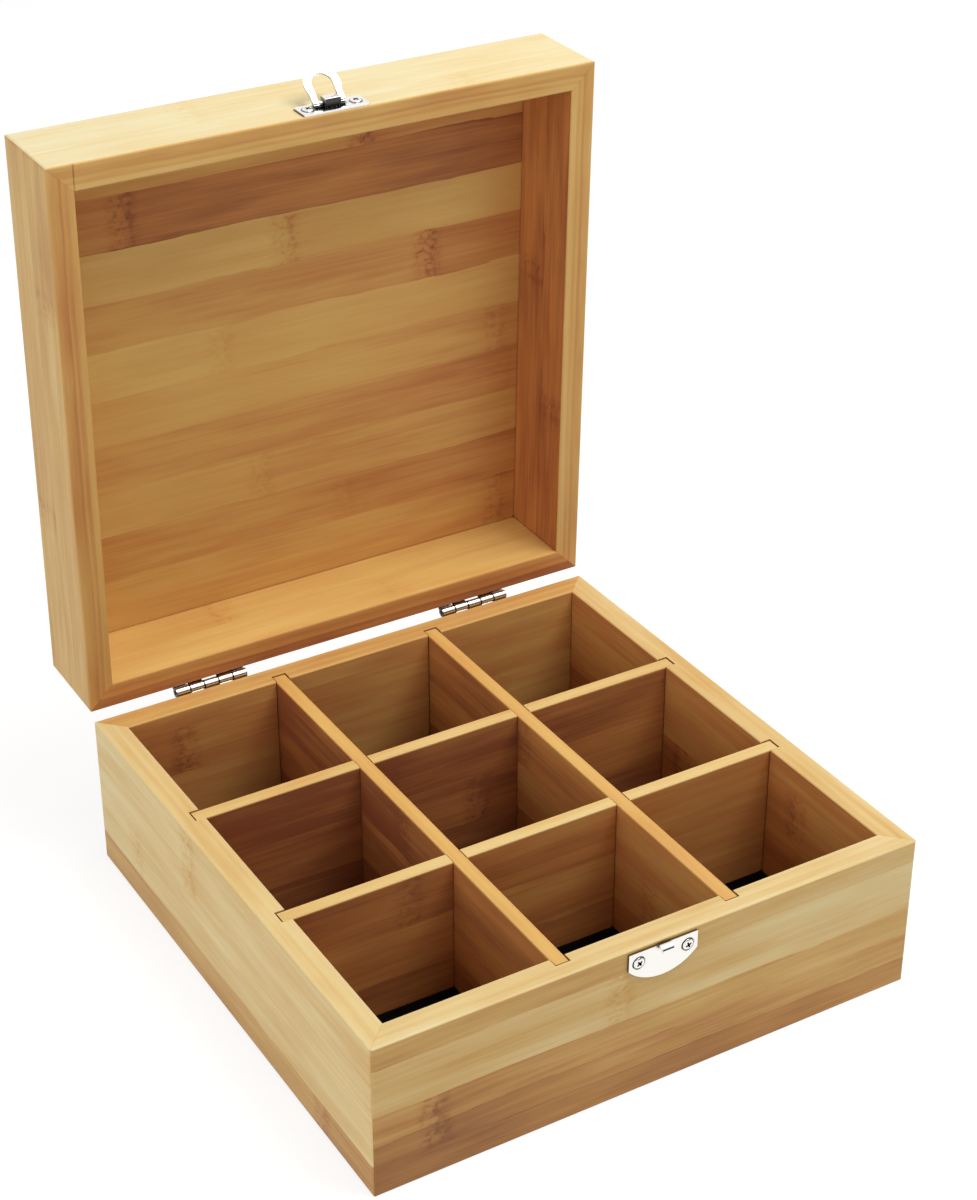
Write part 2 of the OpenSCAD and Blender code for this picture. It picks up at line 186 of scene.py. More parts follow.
@dataclass(frozen=True)
class Grain:
    """Sizes of the bamboo's pattern in millimetres.

    The first five are noises, sized along, through and across the board: fibre bundles that run on
    for 6 cm, the finer stripe between them, broad shades, the specks of a node ring, and the frayed
    line between two strips, which wanders over the width of fray. The steps keep strips and boards
    apart in the noises. A node ring is full up to knot_core from its middle and ends at knot_reach;
    the dark trail behind it ends at trail. Plies wander by wave, joint and mitre_line are half
    widths, corner is how far the painted shade of a crevice reaches, skin how thin the painted shade
    and warmth of the inner face are, and pore how deep a fibre is open.
    """

    bundle: Place = (60.0, 1.7, 1.3)
    hair: Place = (15.0, 0.5, 0.42)
    cloud: Place = (60.0, 12.0, 9.0)
    speck: Place = (2.6, 1.9, 1.9)
    feather: Place = (45.0, 2.2, 2.2)
    fray: float = 5.0
    strip_step: float = 53.0
    board_step: float = 7.0
    speck_levels: tuple[float, float] = (0.46, 0.7)
    knot_reach: float = 9.0
    knot_core: float = 2.0
    trail_start: float = 4.0
    trail: float = 70.0
    wave: float = 3.4
    seam: float = 0.3
    joint: float = 0.35
    mitre_line: float = 0.16
    corner: float = 1.8
    skin: float = 0.45
    pore: float = 0.05


@dataclass(frozen=True)
class LacqueredBamboo:
    """Strip-laminated bamboo, planed and sprayed with satin lacquer.

    The eye sees long straight fibres, strips of differing tone, a broken dark band where the cane
    had a node, and a soft gloss. Each palette runs from pale to dark; the outside one is the paler,
    lit copy and the inside one a warmer, shaded copy that paints the shade on the faces inside the
    box. Bundle to crevice say how far along the palette each mark takes the wood, crevice being
    painted shade in the corners where boards meet, trail and broken how dark a ring's trail and
    specks are against it, and shade how open a crevice is where that painted shade starts and ends.
    """

    outside: tuple[str, ...] = ("#ebdfb4", "#e6cc92", "#d6ad69", "#bc874c", "#916039")
    inside: tuple[str, ...] = ("#f1d188", "#e7bf71", "#ddaa60", "#cb884c", "#985a38")
    bundle: float = 0.24
    hair: float = 0.1
    cloud: float = 0.46
    seam: float = 0.06
    knot: float = 0.22
    joint: float = 0.26
    mitre: float = 0.1
    crevice: float = 0.7
    trail: float = 0.62
    broken: tuple[float, float] = (0.3, 1.3)
    shade: tuple[float, float] = (0.62, 0.4)
    roughness: tuple[float, float] = (0.44, 0.58)
    shine: float = 0.22
    relief: float = 0.2
    grain: Grain = field(default_factory=Grain)


@dataclass(frozen=True)
class Spot:
    """Where a shaded point lies on a board, in the board's millimetres, and what wood it is."""

    tree: Tree
    finish: LacqueredBamboo
    place: Socket
    along: Socket
    depth: Socket
    up: Socket


@dataclass
class Board:
    """A wooden board of the box and where its pattern lies.

    Strips are listed from the board's lower edge up, and plies give the tones seen in the rim from
    the outer face inwards. Rim holds the two heights between which the face turns into the rim,
    mitre is half the outer length of the wall, and rim_joint is where a joint crosses the rim.
    Drift darkens the left end of the board and pales the right one; the shifts darken the inner
    face, as painted shade, and the rim. Warmth mixes the palettes: 0 is the outside, lit one and 1
    the inside, shaded one.
    """

    node: str
    turn: Turn
    offset: Place
    strips: tuple[Strip, ...]
    on_lid: bool = False
    thickness: float = WALL_T
    mitre: float = HALF
    rim: tuple[float, float] | None = None
    drift: float = 0.0
    inner_shade: float = 0.0
    rim_shift: float = 0.0
    skin_warmth: float = 0.0
    rim_warmth: float = 0.0
    plies: Plies = ((0.0, 0.5),)
    rim_joint: float | None = None
    seed: float = 0.0

    def mapping(self) -> tuple[Vector, Euler]:
        """Works out how the pattern's coordinates follow from the frame's.

        Returns:
            The location in millimetres and the rotation of a Mapping node.
        """
        about_x, about_z = self.turn.value
        turn = Euler((radians(about_x), 0.0, radians(about_z))).to_matrix()
        swing = SHUTTING if self.on_lid else Matrix.Identity(3)
        location = turn @ (HINGE_AXIS - swing @ HINGE_AXIS) + Vector(self.offset)
        return location, (turn @ swing).to_euler("XYZ")

    def height(self) -> float:
        """The summed width of the strips."""
        return sum(strip.width for strip in self.strips)

    def strip_stops(self) -> Stops:
        """Packs each strip into one stop of a ramp.

        Returns:
            Stops whose colour holds tone, pattern shift, knot place and knot strength.
        """
        stops, edge = [], 0.0
        for index, strip in enumerate(self.strips):
            shift = (0.37 + 0.618 * index + 0.271 * self.seed) % 1.0
            stops.append((edge / self.height(), (strip.tone, shift, strip.knot / BOX + 0.5, strip.strength)))
            edge += strip.width
        return stops

    def seam_stops(self, seam: float) -> Stops:
        """Lays a thin dark glue line between the strips.

        Args:
            seam: Width of the line.

        Returns:
            Stops that are white in a seam and black elsewhere.
        """
        stops, edge = [(0.0, BLACK)], 0.0
        for strip in self.strips[:-1]:
            edge += strip.width
            stops.append(((edge - seam / 2) / self.height(), WHITE))
            stops.append(((edge + seam / 2) / self.height(), BLACK))
        return stops

    def spot(self, tree: Tree, finish: LacqueredBamboo) -> Spot:
        """Turns the Object coordinates into the board's own.

        Args:
            tree: The material's nodes.
            finish: The wood.

        Returns:
            The shaded point's place along, into and up the board.
        """
        location, rotation = self.mapping()
        where = add(tree, "TexCoord").outputs["Object"]
        values = {"Vector": where, "Location": location, "Rotation": rotation, "Scale": (1 / MM,) * 3}
        place = add(tree, "Mapping", values).outputs[0]
        return Spot(tree, finish, place, *add(tree, "SeparateXYZ", {0: place}).outputs)

    def strip_share(self, spot: Spot) -> Node:
        """Tells how far up the board a point lies, frayed, since strips don't meet in clean lines.

        Args:
            spot: The shaded point.

        Returns:
            0 at the foot of the board and 1 at its top.
        """
        tree, grain = spot.tree, spot.finish.grain
        finer = tuple(1 / size for size in grain.feather)
        spread = add(tree, "VectorMath", {0: spot.place, 1: finer}, operation="MULTIPLY")
        feather = add(tree, "TexNoise", {"Vector": spread, "Scale": 1.0, "Detail": 3.0})
        frayed = add(tree, "Math", {0: feather, 1: grain.fray, 2: spot.up}, operation="MULTIPLY_ADD")
        frayed = add(tree, "Math", {0: frayed, 1: grain.fray / 2}, operation="SUBTRACT")
        return add(tree, "Math", {0: frayed, 1: self.height()}, operation="DIVIDE")

    def noises(self, spot: Spot, shift: Socket) -> dict[str, Node]:
        """Makes the wood's noises, which each strip has its own stretch of.

        Args:
            spot: The shaded point.
            shift: Pattern shift of the strip, from 0 to 1.

        Returns:
            Noise nodes by the name of their grain size.
        """
        tree, grain = spot.tree, spot.finish.grain
        far = {0: shift, 1: grain.strip_step, 2: self.seed * grain.board_step}
        own = add(tree, "Math", far, operation="MULTIPLY_ADD")
        own = add(tree, "CombineXYZ", {0: own, 1: own, 2: self.seed})
        noises = {}
        for name, detail in (("bundle", 3.0), ("hair", 2.0), ("cloud", 2.0), ("speck", 2.0)):
            finer = tuple(1 / size for size in getattr(grain, name))
            spread = add(tree, "VectorMath", {0: spot.place, 1: finer, 2: own}, operation="MULTIPLY_ADD")
            noises[name] = add(tree, "TexNoise", {"Vector": spread, "Scale": 1.0, "Detail": detail})
        return noises

    def node_ring(self, spot: Spot, strength: Socket, knot_place: Socket, speck: Node) -> Node:
        """Draws the node ring of the cane, a band broken into specks, and the dark behind it.

        Args:
            spot: The shaded point.
            strength: How dark the ring is.
            knot_place: Where it lies, from 0 to 1 along the board.
            speck: The noise that breaks it.

        Returns:
            0 away from the ring, and about 1 in a strong one.
        """
        tree, finish, grain = spot.tree, spot.finish, spot.finish.grain
        knot_at = add(tree, "Math", {0: knot_place, 1: -BOX, 2: HALF}, operation="MULTIPLY_ADD")
        past = add(tree, "Math", {0: spot.along, 1: knot_at}, operation="ADD")
        beside = add(tree, "Math", {0: past}, operation="ABSOLUTE")
        reach = {"Value": beside, 1: grain.knot_reach, 2: grain.knot_core, 3: 0.0, 4: 1.0}
        ring = add(tree, "MapRange", reach, interpolation_type="SMOOTHSTEP")
        levels, broken = grain.speck_levels, finish.broken
        specks = {"Value": speck, 1: levels[0], 2: levels[1], 3: broken[0], 4: broken[1]}
        broken = add(tree, "MapRange", specks)
        ring = add(tree, "Math", {0: ring, 1: broken}, operation="MULTIPLY")
        after = add(tree, "MapRange", {"Value": past, 1: 0.0, 2: grain.trail_start})
        paling = {"Value": past, 1: grain.trail_start, 2: grain.trail, 3: finish.trail, 4: 0.0}
        fade = add(tree, "MapRange", paling)
        trail = add(tree, "Math", {0: after, 1: fade}, operation="MULTIPLY")
        ring = add(tree, "Math", {0: ring, 1: trail}, operation="ADD")
        return add(tree, "Math", {0: ring, 1: strength}, operation="MULTIPLY")

    def rim_tone(self, spot: Spot, cloud: Node) -> Node:
        """Tones the rim, where the layers of the wall end.

        Args:
            spot: The shaded point.
            cloud: The noise that bends the layers.

        Returns:
            The rim's place on the palette.
        """
        tree, finish, grain = spot.tree, spot.finish, spot.finish.grain
        through = add(tree, "Math", {0: cloud, 1: grain.wave, 2: spot.depth}, operation="MULTIPLY_ADD")
        through = add(tree, "Math", {0: through, 1: grain.wave / 2}, operation="SUBTRACT")
        through = add(tree, "Math", {0: through, 1: self.thickness}, operation="DIVIDE")
        stops = [(at / self.thickness, (tone, tone, tone, 1.0)) for at, tone in self.plies]
        plies = add(tree, "ValToRGB", {"Fac": through}, stops=stops, interpolation="LINEAR")
        edge = add(tree, "Math", {0: plies, 1: self.rim_shift}, operation="ADD")
        if self.rim_joint is None:
            return edge
        line = {0: spot.along, 1: self.rim_joint, 2: grain.joint}
        joint = add(tree, "Math", line, operation="COMPARE")
        return add(tree, "Math", {0: joint, 1: finish.joint, 2: edge}, operation="MULTIPLY_ADD")

    def material(self, finish: LacqueredBamboo) -> Material:
        """Builds the board's material.

        Args:
            finish: Colours and gloss of the wood.

        Returns:
            A material that reads Object coordinates.
        """
        grain = finish.grain
        material, tree = new_material(f"Lacquered bamboo {self.node}")
        spot = self.spot(tree, finish)
        share = {"Fac": self.strip_share(spot)}
        strips = add(tree, "ValToRGB", share, stops=self.strip_stops(), interpolation="CONSTANT")
        glue = self.seam_stops(grain.seam)
        seam = add(tree, "ValToRGB", share, stops=glue, interpolation="CONSTANT")
        tone, shift, knot_place = add(tree, "SeparateColor", {0: strips}).outputs
        noises = self.noises(spot, shift)
        ring = self.node_ring(spot, strips.outputs["Alpha"], knot_place, noises["speck"])

        # Painted shade: the inner face is darker and takes the warmer, shaded palette
        skin_deep = {"Value": spot.depth, 1: self.thickness - 2 * grain.skin, 2: self.thickness - grain.skin}
        inner = add(tree, "MapRange", skin_deep)
        warmth = add(tree, "MapRange", {"Value": inner, 3: self.skin_warmth, 4: 1.0})
        total = tone
        for value, weight in (
            (inner, self.inner_shade),
            (spot.along, -self.drift / HALF),
            (seam, finish.seam),
            (ring, finish.knot),
        ):
            total = add(tree, "Math", {0: value, 1: weight, 2: total}, operation="MULTIPLY_ADD")
        if self.rim:
            edge = self.rim_tone(spot, noises["cloud"])
            on_rim = add(tree, "MapRange", {"Value": spot.up, 1: self.rim[0], 2: self.rim[1]})
            total = add(tree, "Mix", {0: on_rim, 2: total, 3: edge}, data_type="FLOAT")
            warmth = add(tree, "Mix", {0: on_rim, 2: warmth, 3: self.rim_warmth}, data_type="FLOAT")

        away = add(tree, "Math", {0: spot.along}, operation="ABSOLUTE")
        away = add(tree, "Math", {0: away, 1: spot.depth}, operation="ADD")
        line = {0: away, 1: self.mitre, 2: grain.mitre_line * sqrt(2)}
        mitre = add(tree, "Math", line, operation="COMPARE")
        # Painted shade in the narrow corners where boards meet
        sky = add(tree, "AmbientOcclusion", {"Distance": grain.corner * MM}, samples=6)
        corner_shade = {"Value": sky.outputs["AO"], 1: finish.shade[0], 2: finish.shade[1], 3: 0.0, 4: 1.0}
        corner = add(tree, "MapRange", corner_shade)
        for value, weight in (
            (noises["bundle"], finish.bundle),
            (noises["hair"], finish.hair),
            (noises["cloud"], finish.cloud),
            (mitre, finish.mitre),
            (corner, finish.crevice),
        ):
            total = add(tree, "Math", {0: value, 1: weight, 2: total}, operation="MULTIPLY_ADD")
        # A noise is 0.5 in the mean, so that half its weight is taken back
        mean = (finish.bundle + finish.hair + finish.cloud) / 2
        total = add(tree, "Math", {0: total, 1: mean}, operation="SUBTRACT")
        # The lit and the shaded copy of the wood, mixed by warmth
        outside, inside = (
            add(tree, "ValToRGB", {"Fac": total}, stops=[(i / 4, linear(t)) for i, t in enumerate(palette)])
            for palette in (finish.outside, finish.inside)
        )
        colour = add(tree, "Mix", {0: warmth, 6: outside, 7: inside}, data_type="RGBA")
        low, high = finish.roughness
        gloss = add(tree, "MapRange", {"Value": noises["bundle"], 1: 0.3, 2: 0.7, 3: low, 4: high})
        pits = {"Height": noises["hair"], "Strength": finish.relief, "Distance": grain.pore * MM}
        shader = add(
            tree,
            "BsdfPrincipled",
            {
                "Base Color": colour.outputs[2],
                "Roughness": gloss,
                "IOR": 1.5,
                "Specular IOR Level": finish.shine,
                "Normal": add(tree, "Bump", pits),
            },
        )
        add(tree, "OutputMaterial", {"Surface": shader})
        return material

    def dress(self, finish: LacqueredBamboo) -> None:
        """Gives the board's CAD node its own bamboo.

        Args:
            finish: Colours and gloss of the wood.
        """
        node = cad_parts[self.node]
        node.data.materials.clear()
        node.data.materials.append(self.material(finish))
        log.info("dressed %s", self.node)


# Tones through a wall: depth from the outer face and place on the palette
BASE_PLIES = ((0.0, 0.48), (3.0, 0.56), (4.7, 0.6), (6.0, 0.5), (8.5, 0.57), (11.0, 0.47))
LID_PLIES = (
    (0.0, 0.48), (1.6, 0.58), (3.7, 0.62), (4.8, 0.7),
    (5.8, 0.54), (7.4, 0.64), (8.4, 0.5), (11.0, 0.46),
)
BACK_PLIES = ((0.0, 0.9), (4.4, 0.9), (5.0, 0.7), (7.6, 0.74), (11.0, 0.62))
DIVIDER_PLIES = ((0.0, 0.5), (2.0, 0.44), (4.0, 0.52), (6.0, 0.48))


@dataclass
class Carcass:
    """The boards of the base and the grid of dividers."""

    finish: LacqueredBamboo
    divider_at: float = 37.33
    divider_t: float = 6.0
    bottom_t: float = 6.0
    bottom_strips: int = 10

    def boards(self) -> list[Board]:
        """Lists the wooden boards of the base.

        Returns:
            Walls, bottom panel and dividers.
        """
        place = (0, HALF, 0)
        front = (
            Strip(12, 0.82),
            Strip(11.4, 0.7, -94, 1.0),
            Strip(12.6, 0.58, -95, 0.9),
            Strip(22.4, 0.37, -16, 0.6),
            Strip(9.6, 0.5),
        )
        back = (Strip(14, 0.45, 30, 0.5), Strip(23, 0.36, -70, 0.6), Strip(23, 0.45, 84, 0.7), Strip(8, 0.4))
        left = (Strip(14, 0.58, 80, 0.8), Strip(23, 0.31, -84, 0.4), Strip(31, 0.3, -30, 0.7))
        right = (Strip(10, 0.4), Strip(23, 0.45, 20, 0.6), Strip(23, 0.36, -60, 0.7), Strip(12, 0.42))
        # Tones and nodes in steps that seem irregular
        bottom = tuple(
            Strip(PANEL / self.bottom_strips, 0.34 + 0.05 * (7 * index % 4), -90 + 47 * index % 180, 0.5)
            for index in range(self.bottom_strips)
        )
        rim = (BASE_H - 0.75, BASE_H - 0.35)
        # The walls' inner faces are darkened as painted shade
        wall = {"rim": rim, "plies": BASE_PLIES, "rim_shift": -0.22, "inner_shade": 0.36}
        back_wall = wall | {"drift": -0.08, "rim_warmth": 0.6, "rim_shift": -0.01, "inner_shade": 0.24}
        left_wall = wall | {"drift": -0.06, "rim_warmth": 0.2, "rim_shift": -0.28}
        right_wall = wall | {"rim_warmth": 0.2, "rim_shift": -0.16, "inner_shade": 0.28}
        level = {"thickness": self.bottom_t, "mitre": NO_MITRE}
        boards = [
            Board("base_front_wall", Turn.FRONT, place, front, drift=0.1, seed=1, **wall),
            Board("base_back_wall", Turn.BACK, place, back, seed=2, **back_wall),
            Board("base_left_wall", Turn.LEFT, place, left, seed=3, **left_wall),
            Board("base_right_wall", Turn.RIGHT, place, right, seed=4, **right_wall),
            Board("base_bottom_panel", Turn.LEVEL, (0, 0, PANEL / 2), bottom, seed=5, **level),
        ]
        rim = (BASE_H - 1.3, BASE_H - 0.7)
        across = {"thickness": self.divider_t, "mitre": NO_MITRE, "rim": rim, "plies": DIVIDER_PLIES}
        across |= {"skin_warmth": 1.0, "rim_warmth": 0.5, "drift": 0.1}
        lengthways = across | {"rim_warmth": 1.0, "drift": -0.12}
        # The side of the box's middle that each divider stands on, its tone and its rim's shift; the rear
        # cross divider's darker tone paints the shade on the middle row's rear walls
        dividers = (
            ("cross_divider_front", Turn.FRONT, 1, 0.74, -0.24),
            ("cross_divider_rear", Turn.FRONT, -1, 0.9, -0.14),
            ("long_divider_left", Turn.RIGHT, -1, 0.87, -0.03),
            ("long_divider_right", Turn.RIGHT, 1, 0.71, -0.03),
        )
        for index, (node, turn, side, tone, rim_shift) in enumerate(dividers):
            place = (0, side * self.divider_at + self.divider_t / 2, 0)
            strips = (
                Strip(22, tone + 0.04),
                Strip(23, tone - 0.05, 55 - 40 * index, 0.6),
                Strip(23, tone + 0.03, 30 * index - 60, 0.5),
            )
            kind = across if turn is Turn.FRONT else lengthways
            boards.append(Board(node, turn, place, strips, rim_shift=rim_shift, seed=6 + index, **kind))
        return boards

    def build(self) -> None:
        """Dresses the boards."""
        for board in self.boards():
            board.dress(self.finish)


@dataclass
class LidBoards:
    """The four boards and the panel of the lid."""

    finish: LacqueredBamboo

    def boards(self) -> list[Board]:
        """Lists the wooden boards of the lid.

        Returns:
            Walls and panel.
        """
        place = (0, HALF, -LID_Z)
        front = (Strip(16, 0.13, 60, 0.4), Strip(25.4, 0.1, -50, 0.4))
        back = (Strip(19, 0.27, -31, 0.4), Strip(22.4, 0.3, 45, 0.9))
        left = (Strip(21, 0.52, 60, 0.5), Strip(20.4, 0.5, -40, 0.5))
        right = (Strip(18, 0.4, 40, 0.4), Strip(23.4, 0.36, -20, 0.5))
        panel = (
            Strip(29.5, 0.56, 98, 0.6),
            Strip(21.5, 0.64, 20, 0.2),
            Strip(21.5, 0.52, -20, 0.4),
            Strip(21.3, 0.63, 100, 0.2),
            Strip(21.2, 0.49, 97, 0.5),
            Strip(21.5, 0.4, -36, 0.5),
            Strip(21.5, 0.6, 62, 1.0),
            Strip(21.5, 0.36, -5, 1.0),
            # This strip's dark tone is partly its own and partly painted shade under the lid's front wall
            Strip(22.5, 0.78, -76, 0.8),
            Strip(26.7, 0.58, 31, 1.0),
        )
        lid = {"on_lid": True, "rim": (0.75, 0.35), "plies": LID_PLIES, "rim_warmth": 0.6}
        front_wall = lid | {"rim_shift": -0.03, "rim_joint": WALL_T - HALF}
        back_wall = lid | {"inner_shade": 0.06, "plies": BACK_PLIES, "rim_warmth": 1.0}
        # Painted shade on the right wall's inner face, which the key light doesn't reach
        right_wall = lid | {"inner_shade": 0.47, "rim_shift": -0.03}
        # The panel's drift is painted shade: darker towards the lid's right wall
        level = {"on_lid": True, "thickness": BOX, "mitre": NO_MITRE, "drift": -0.1, "skin_warmth": 1.0}
        return [
            Board("lid_front_wall", Turn.FRONT, place, front, seed=11, **front_wall),
            Board("lid_back_wall", Turn.BACK, place, back, seed=12, **back_wall),
            Board("lid_left_wall", Turn.LEFT, place, left, rim_shift=0.07, seed=13, **lid),
            Board("lid_right_wall", Turn.RIGHT, place, right, seed=14, **right_wall),
            Board("lid_panel", Turn.LEVEL, (0, 0, PANEL / 2), panel, seed=15, **level),
        ]

    def build(self) -> None:
        """Dresses the boards."""
        for board in self.boards():
            board.dress(self.finish)


# --- felt


@dataclass(frozen=True)
class PressedFelt:
    """Black wool-viscose felt, needle-punched, that gives a matt black floor with a faint nap.

    Nap is the size of its tufts and pile how high they stand, in millimetres.
    """

    colour: str = "#0a0806"
    nap: float = 0.7
    pile: float = 0.2
    relief: float = 0.6

    def material(self) -> Material:
        """Builds the felt.

        Returns:
            A material that reads Object coordinates.
        """
        material, tree = new_material("Pressed felt")
        where = add(tree, "TexCoord").outputs["Object"]
        fuzz = add(tree, "TexNoise", {"Vector": where, "Scale": 1 / (self.nap * MM), "Detail": 4.0})
        bump = add(tree, "Bump", {"Height": fuzz, "Strength": self.relief, "Distance": self.pile * MM})
        shader = add(
            tree,
            "BsdfPrincipled",
            {"Base Color": linear(self.colour), "Roughness": 1.0, "Specular IOR Level": 0.05, "Normal": bump},
        )
        add(tree, "OutputMaterial", {"Surface": shader})
        return material

    def dress(self, node: str) -> None:
        """Covers a CAD node with the felt."""
        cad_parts[node].data.materials.clear()
        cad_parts[node].data.materials.append(self.material())


# --- metal


@dataclass(frozen=True)
class PlatedSteel:
    """Stamped sheet steel, barrel-polished and nickel-plated.

    The eye sees a soft mirror of a white room, with painted shade, in a dark colour of its own, that
    darkens every crevice. The painted shade reaches crevice millimetres out and is as dark as depth,
    between the two values of openness in shade. On a hinge there is a gap every pitch millimetres,
    with a line of painted shade in it of the given half width, and barrel how far from the axis that
    reaches. Scratch is the grain of the haze.
    """

    name: str = "Nickel-plated steel"
    colour: str = "#dedcd7"
    crevice_shade: str = "#2c2b2a"
    roughness: float = 0.14
    haze: float = 0.06
    scratch: float = 0.4
    crevice: float = 2.4
    depth: float = 1.0
    shade: tuple[float, float] = (0.5, 0.95)
    pitch: float = 0.0
    gap_shade: float = 0.34
    barrel: float = 2.6

    def material(self) -> Material:
        """Builds the plating.

        Returns:
            A material that reads Object coordinates.
        """
        material, tree = new_material(self.name)
        where = add(tree, "TexCoord").outputs["Object"]
        haze = add(tree, "TexNoise", {"Vector": where, "Scale": 1 / (self.scratch * MM), "Detail": 3.0})
        dull = {"Value": haze, 3: self.roughness - self.haze, 4: self.roughness + self.haze}
        rough = add(tree, "MapRange", dull)
        # Painted shade: the plating darkens towards the crevice colour where little of the room is open
        sky = add(tree, "AmbientOcclusion", {"Distance": self.crevice * MM}, samples=8)
        shade_range = {"Value": sky.outputs["AO"], 1: self.shade[0], 2: self.shade[1], 3: 1.0 - self.depth}
        unshaded = add(tree, "MapRange", shade_range)
        if self.pitch:
            between = self.knuckle_ends(tree, where)
            unshaded = add(tree, "Math", {0: unshaded, 1: between}, operation="MULTIPLY")
        tones = {0: unshaded, 6: linear(self.crevice_shade), 7: linear(self.colour)}
        plating = add(tree, "Mix", tones, data_type="RGBA").outputs[2]
        shader = add(tree, "BsdfPrincipled", {"Base Color": plating, "Metallic": 1.0, "Roughness": rough})
        add(tree, "OutputMaterial", {"Surface": shader})
        return material

    def knuckle_ends(self, tree: Tree, where: Socket) -> Node:
        """Marks the barrel where two knuckles meet, with painted shade in the gaps between them.

        Args:
            tree: The material's nodes.
            where: The Object coordinates.

        Returns:
            0 beside a gap and 1 elsewhere.
        """
        x, y, z = add(tree, "SeparateXYZ", {0: where}).outputs
        side = add(tree, "Math", {0: x}, operation="ABSOLUTE")
        side = add(tree, "Math", {0: side, 1: HINGE_X * MM}, operation="SUBTRACT")
        # Folds the barrel's length over its knuckles, so that one gap is drawn for all
        fold = add(tree, "Math", {0: side, 1: self.pitch / 2 * MM}, operation="PINGPONG")
        edge = (self.pitch / 2 - self.gap_shade) * MM
        gap = add(tree, "Math", {0: fold, 1: edge}, operation="GREATER_THAN")
        across = add(tree, "CombineXYZ", {1: y, 2: z})
        axis = (0.0, HINGE_AXIS.y * MM, HINGE_AXIS.z * MM)
        off = add(tree, "VectorMath", {0: across, 1: axis}, operation="DISTANCE").outputs["Value"]
        rolled = add(tree, "Math", {0: off, 1: self.barrel * MM}, operation="LESS_THAN")
        gap = add(tree, "Math", {0: gap, 1: rolled}, operation="MULTIPLY")
        return add(tree, "Math", {0: 1.0, 1: gap}, operation="SUBTRACT")


@dataclass
class Fittings:
    """The stamped metal parts, copied from the frame with their edges broken.

    Widths and places are in millimetres and angles in degrees. The eye's mouth lies in front of
    plate_face on the closed lid, where faces look down by mouth_slope or more, and gets a dark
    finish as painted shadow.
    """

    finish: Material
    mouth_shadow_finish: Material
    hinge_finish: Material
    break_edge: float = 0.14
    knuckle_edge: float = 0.24
    weld: float = 0.002
    flat_angle: float = 1.0
    edge_angle: float = 32.0
    sharp_angle: float = 40.0
    plate_face: float = -121.2
    mouth_slope: float = -0.6
    nodes: dict[str, tuple[str, ...]] = field(
        default_factory=lambda: {
            "base": ("left_hinge_base_leaf", "right_hinge_base_leaf")
            + ("left_hinge_pin", "right_hinge_pin", "catch_plate"),
            "lid": ("left_hinge_lid_leaf", "right_hinge_lid_leaf", "latch_plate"),
            "latch": ("latch_ring",),
        }
    )

    def build(self) -> None:
        """Makes a rounded copy of each fitting, which stands for its CAD node."""
        for body, nodes in self.nodes.items():
            for node in nodes:
                piece = self.rounded(node)
                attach(piece, body)
                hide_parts(node)
                log.info("rounded %s on %s", node, body)

    def rounded(self, node: str) -> bpy.types.Object:
        """Copies a CAD node, merges it and breaks its edges.

        Args:
            node: The CAD node's name.

        Returns:
            The finished piece.
        """
        mesh = bpy.data.meshes.new(f"{node}_plated")
        form = bmesh.new()
        form.from_mesh(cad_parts[node].data)
        bmesh.ops.remove_doubles(form, verts=form.verts, dist=self.weld * MM)
        bmesh.ops.dissolve_limit(
            form,
            angle_limit=radians(self.flat_angle),
            verts=form.verts,
            edges=form.edges,
            use_dissolve_boundaries=False,
        )
        form.to_mesh(mesh)
        form.free()
        hinge = "hinge" in node
        mesh.materials.clear()
        mesh.materials.append(self.hinge_finish if hinge else self.finish)
        # The eye's mouth gets a painted shadow
        if node == "latch_plate":
            mesh.materials.append(self.mouth_shadow_finish)
            self.paint_mouth_shadow(mesh)
        piece = new_object(mesh.name, mesh)
        bevel = piece.modifiers.new("Broken edge", "BEVEL")
        bevel.width = (self.knuckle_edge if hinge else self.break_edge) * MM
        bevel.segments = 2
        bevel.limit_method = "ANGLE"
        bevel.angle_limit = radians(self.edge_angle)
        bevel.harden_normals = True
        mesh.shade_smooth()
        mesh.set_sharp_from_angle(angle=radians(self.sharp_angle))
        return piece

    def paint_mouth_shadow(self, mesh: bpy.types.Mesh) -> None:
        """Gives the eye's face towards the rim the second finish, a dark nickel that paints the shadow in the
        eye's mouth.

        Args:
            mesh: The latch plate, where the open lid has it.
        """
        for face in mesh.polygons:
            middle = HINGE_AXIS + SHUTTING @ (face.center / MM - HINGE_AXIS)
            if middle.y < self.plate_face and (SHUTTING @ face.normal).z < self.mouth_slope:
                face.material_index = 1


@dataclass(frozen=True)
class ScrewSize:
    """Sizes of a countersunk screw with a cross recess."""

    head_r: float
    dome_h: float
    shank_r: float = 1.0
    length: float = 8.0
    cone_h: float = 1.4
    recess_w: float = 0.8
    recess_depth: float = 1.0


# Inputs of the screws' tree that are lengths, and the field of ScrewSize behind each
SCREW_INPUTS = {
    "Head Radius": "head_r",
    "Dome Height": "dome_h",
    "Shank Radius": "shank_r",
    "Length": "length",
    "Cone Height": "cone_h",
    "Recess Width": "recess_w",
    "Recess Depth": "recess_depth",
}


